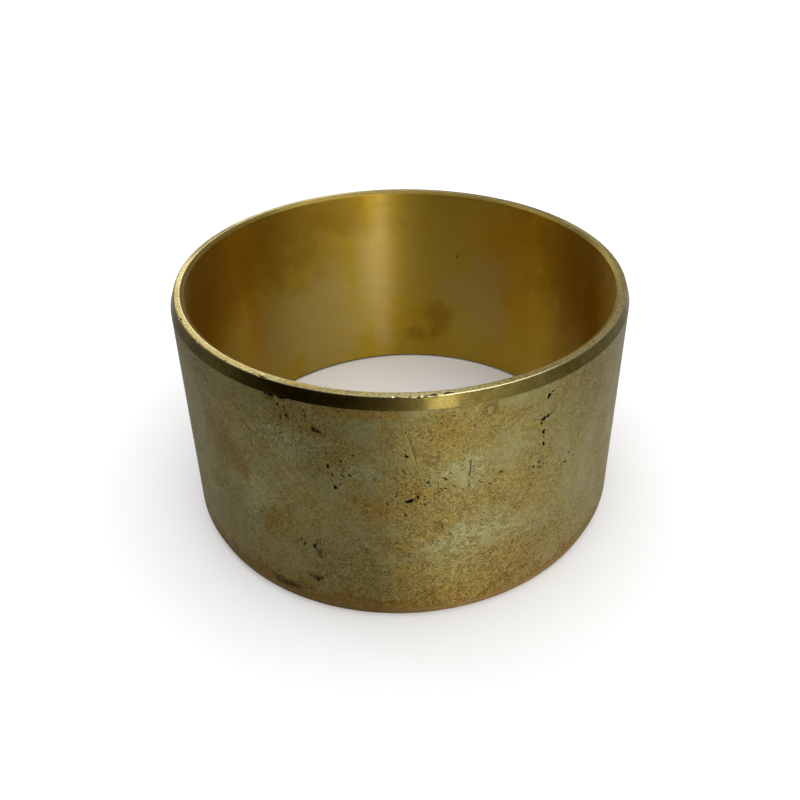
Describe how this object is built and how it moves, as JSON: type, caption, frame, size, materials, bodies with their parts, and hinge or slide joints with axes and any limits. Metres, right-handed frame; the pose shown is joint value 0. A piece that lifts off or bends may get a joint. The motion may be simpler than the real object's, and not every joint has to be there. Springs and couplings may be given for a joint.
{
  "type": "sleeve bushing",
  "caption": "Plain cylindrical sleeve bushing in solid cast bronze, thin wall, lead-in chamfers outside at both ends and broken edges in the bore.",
  "frame": {"origin": "centre of the lower end face, on the bore's axis", "axes": "+Z along the bore's axis, out of the upper end; X and Y are any two radial directions"},
  "size_m": [0.108, 0.108, 0.0579],
  "materials": {
    "bronze": "tarnished machined bronze"
  },
  "bodies": {
    "root": {"sleeve": "bronze"}
  },
  "joints": []
}
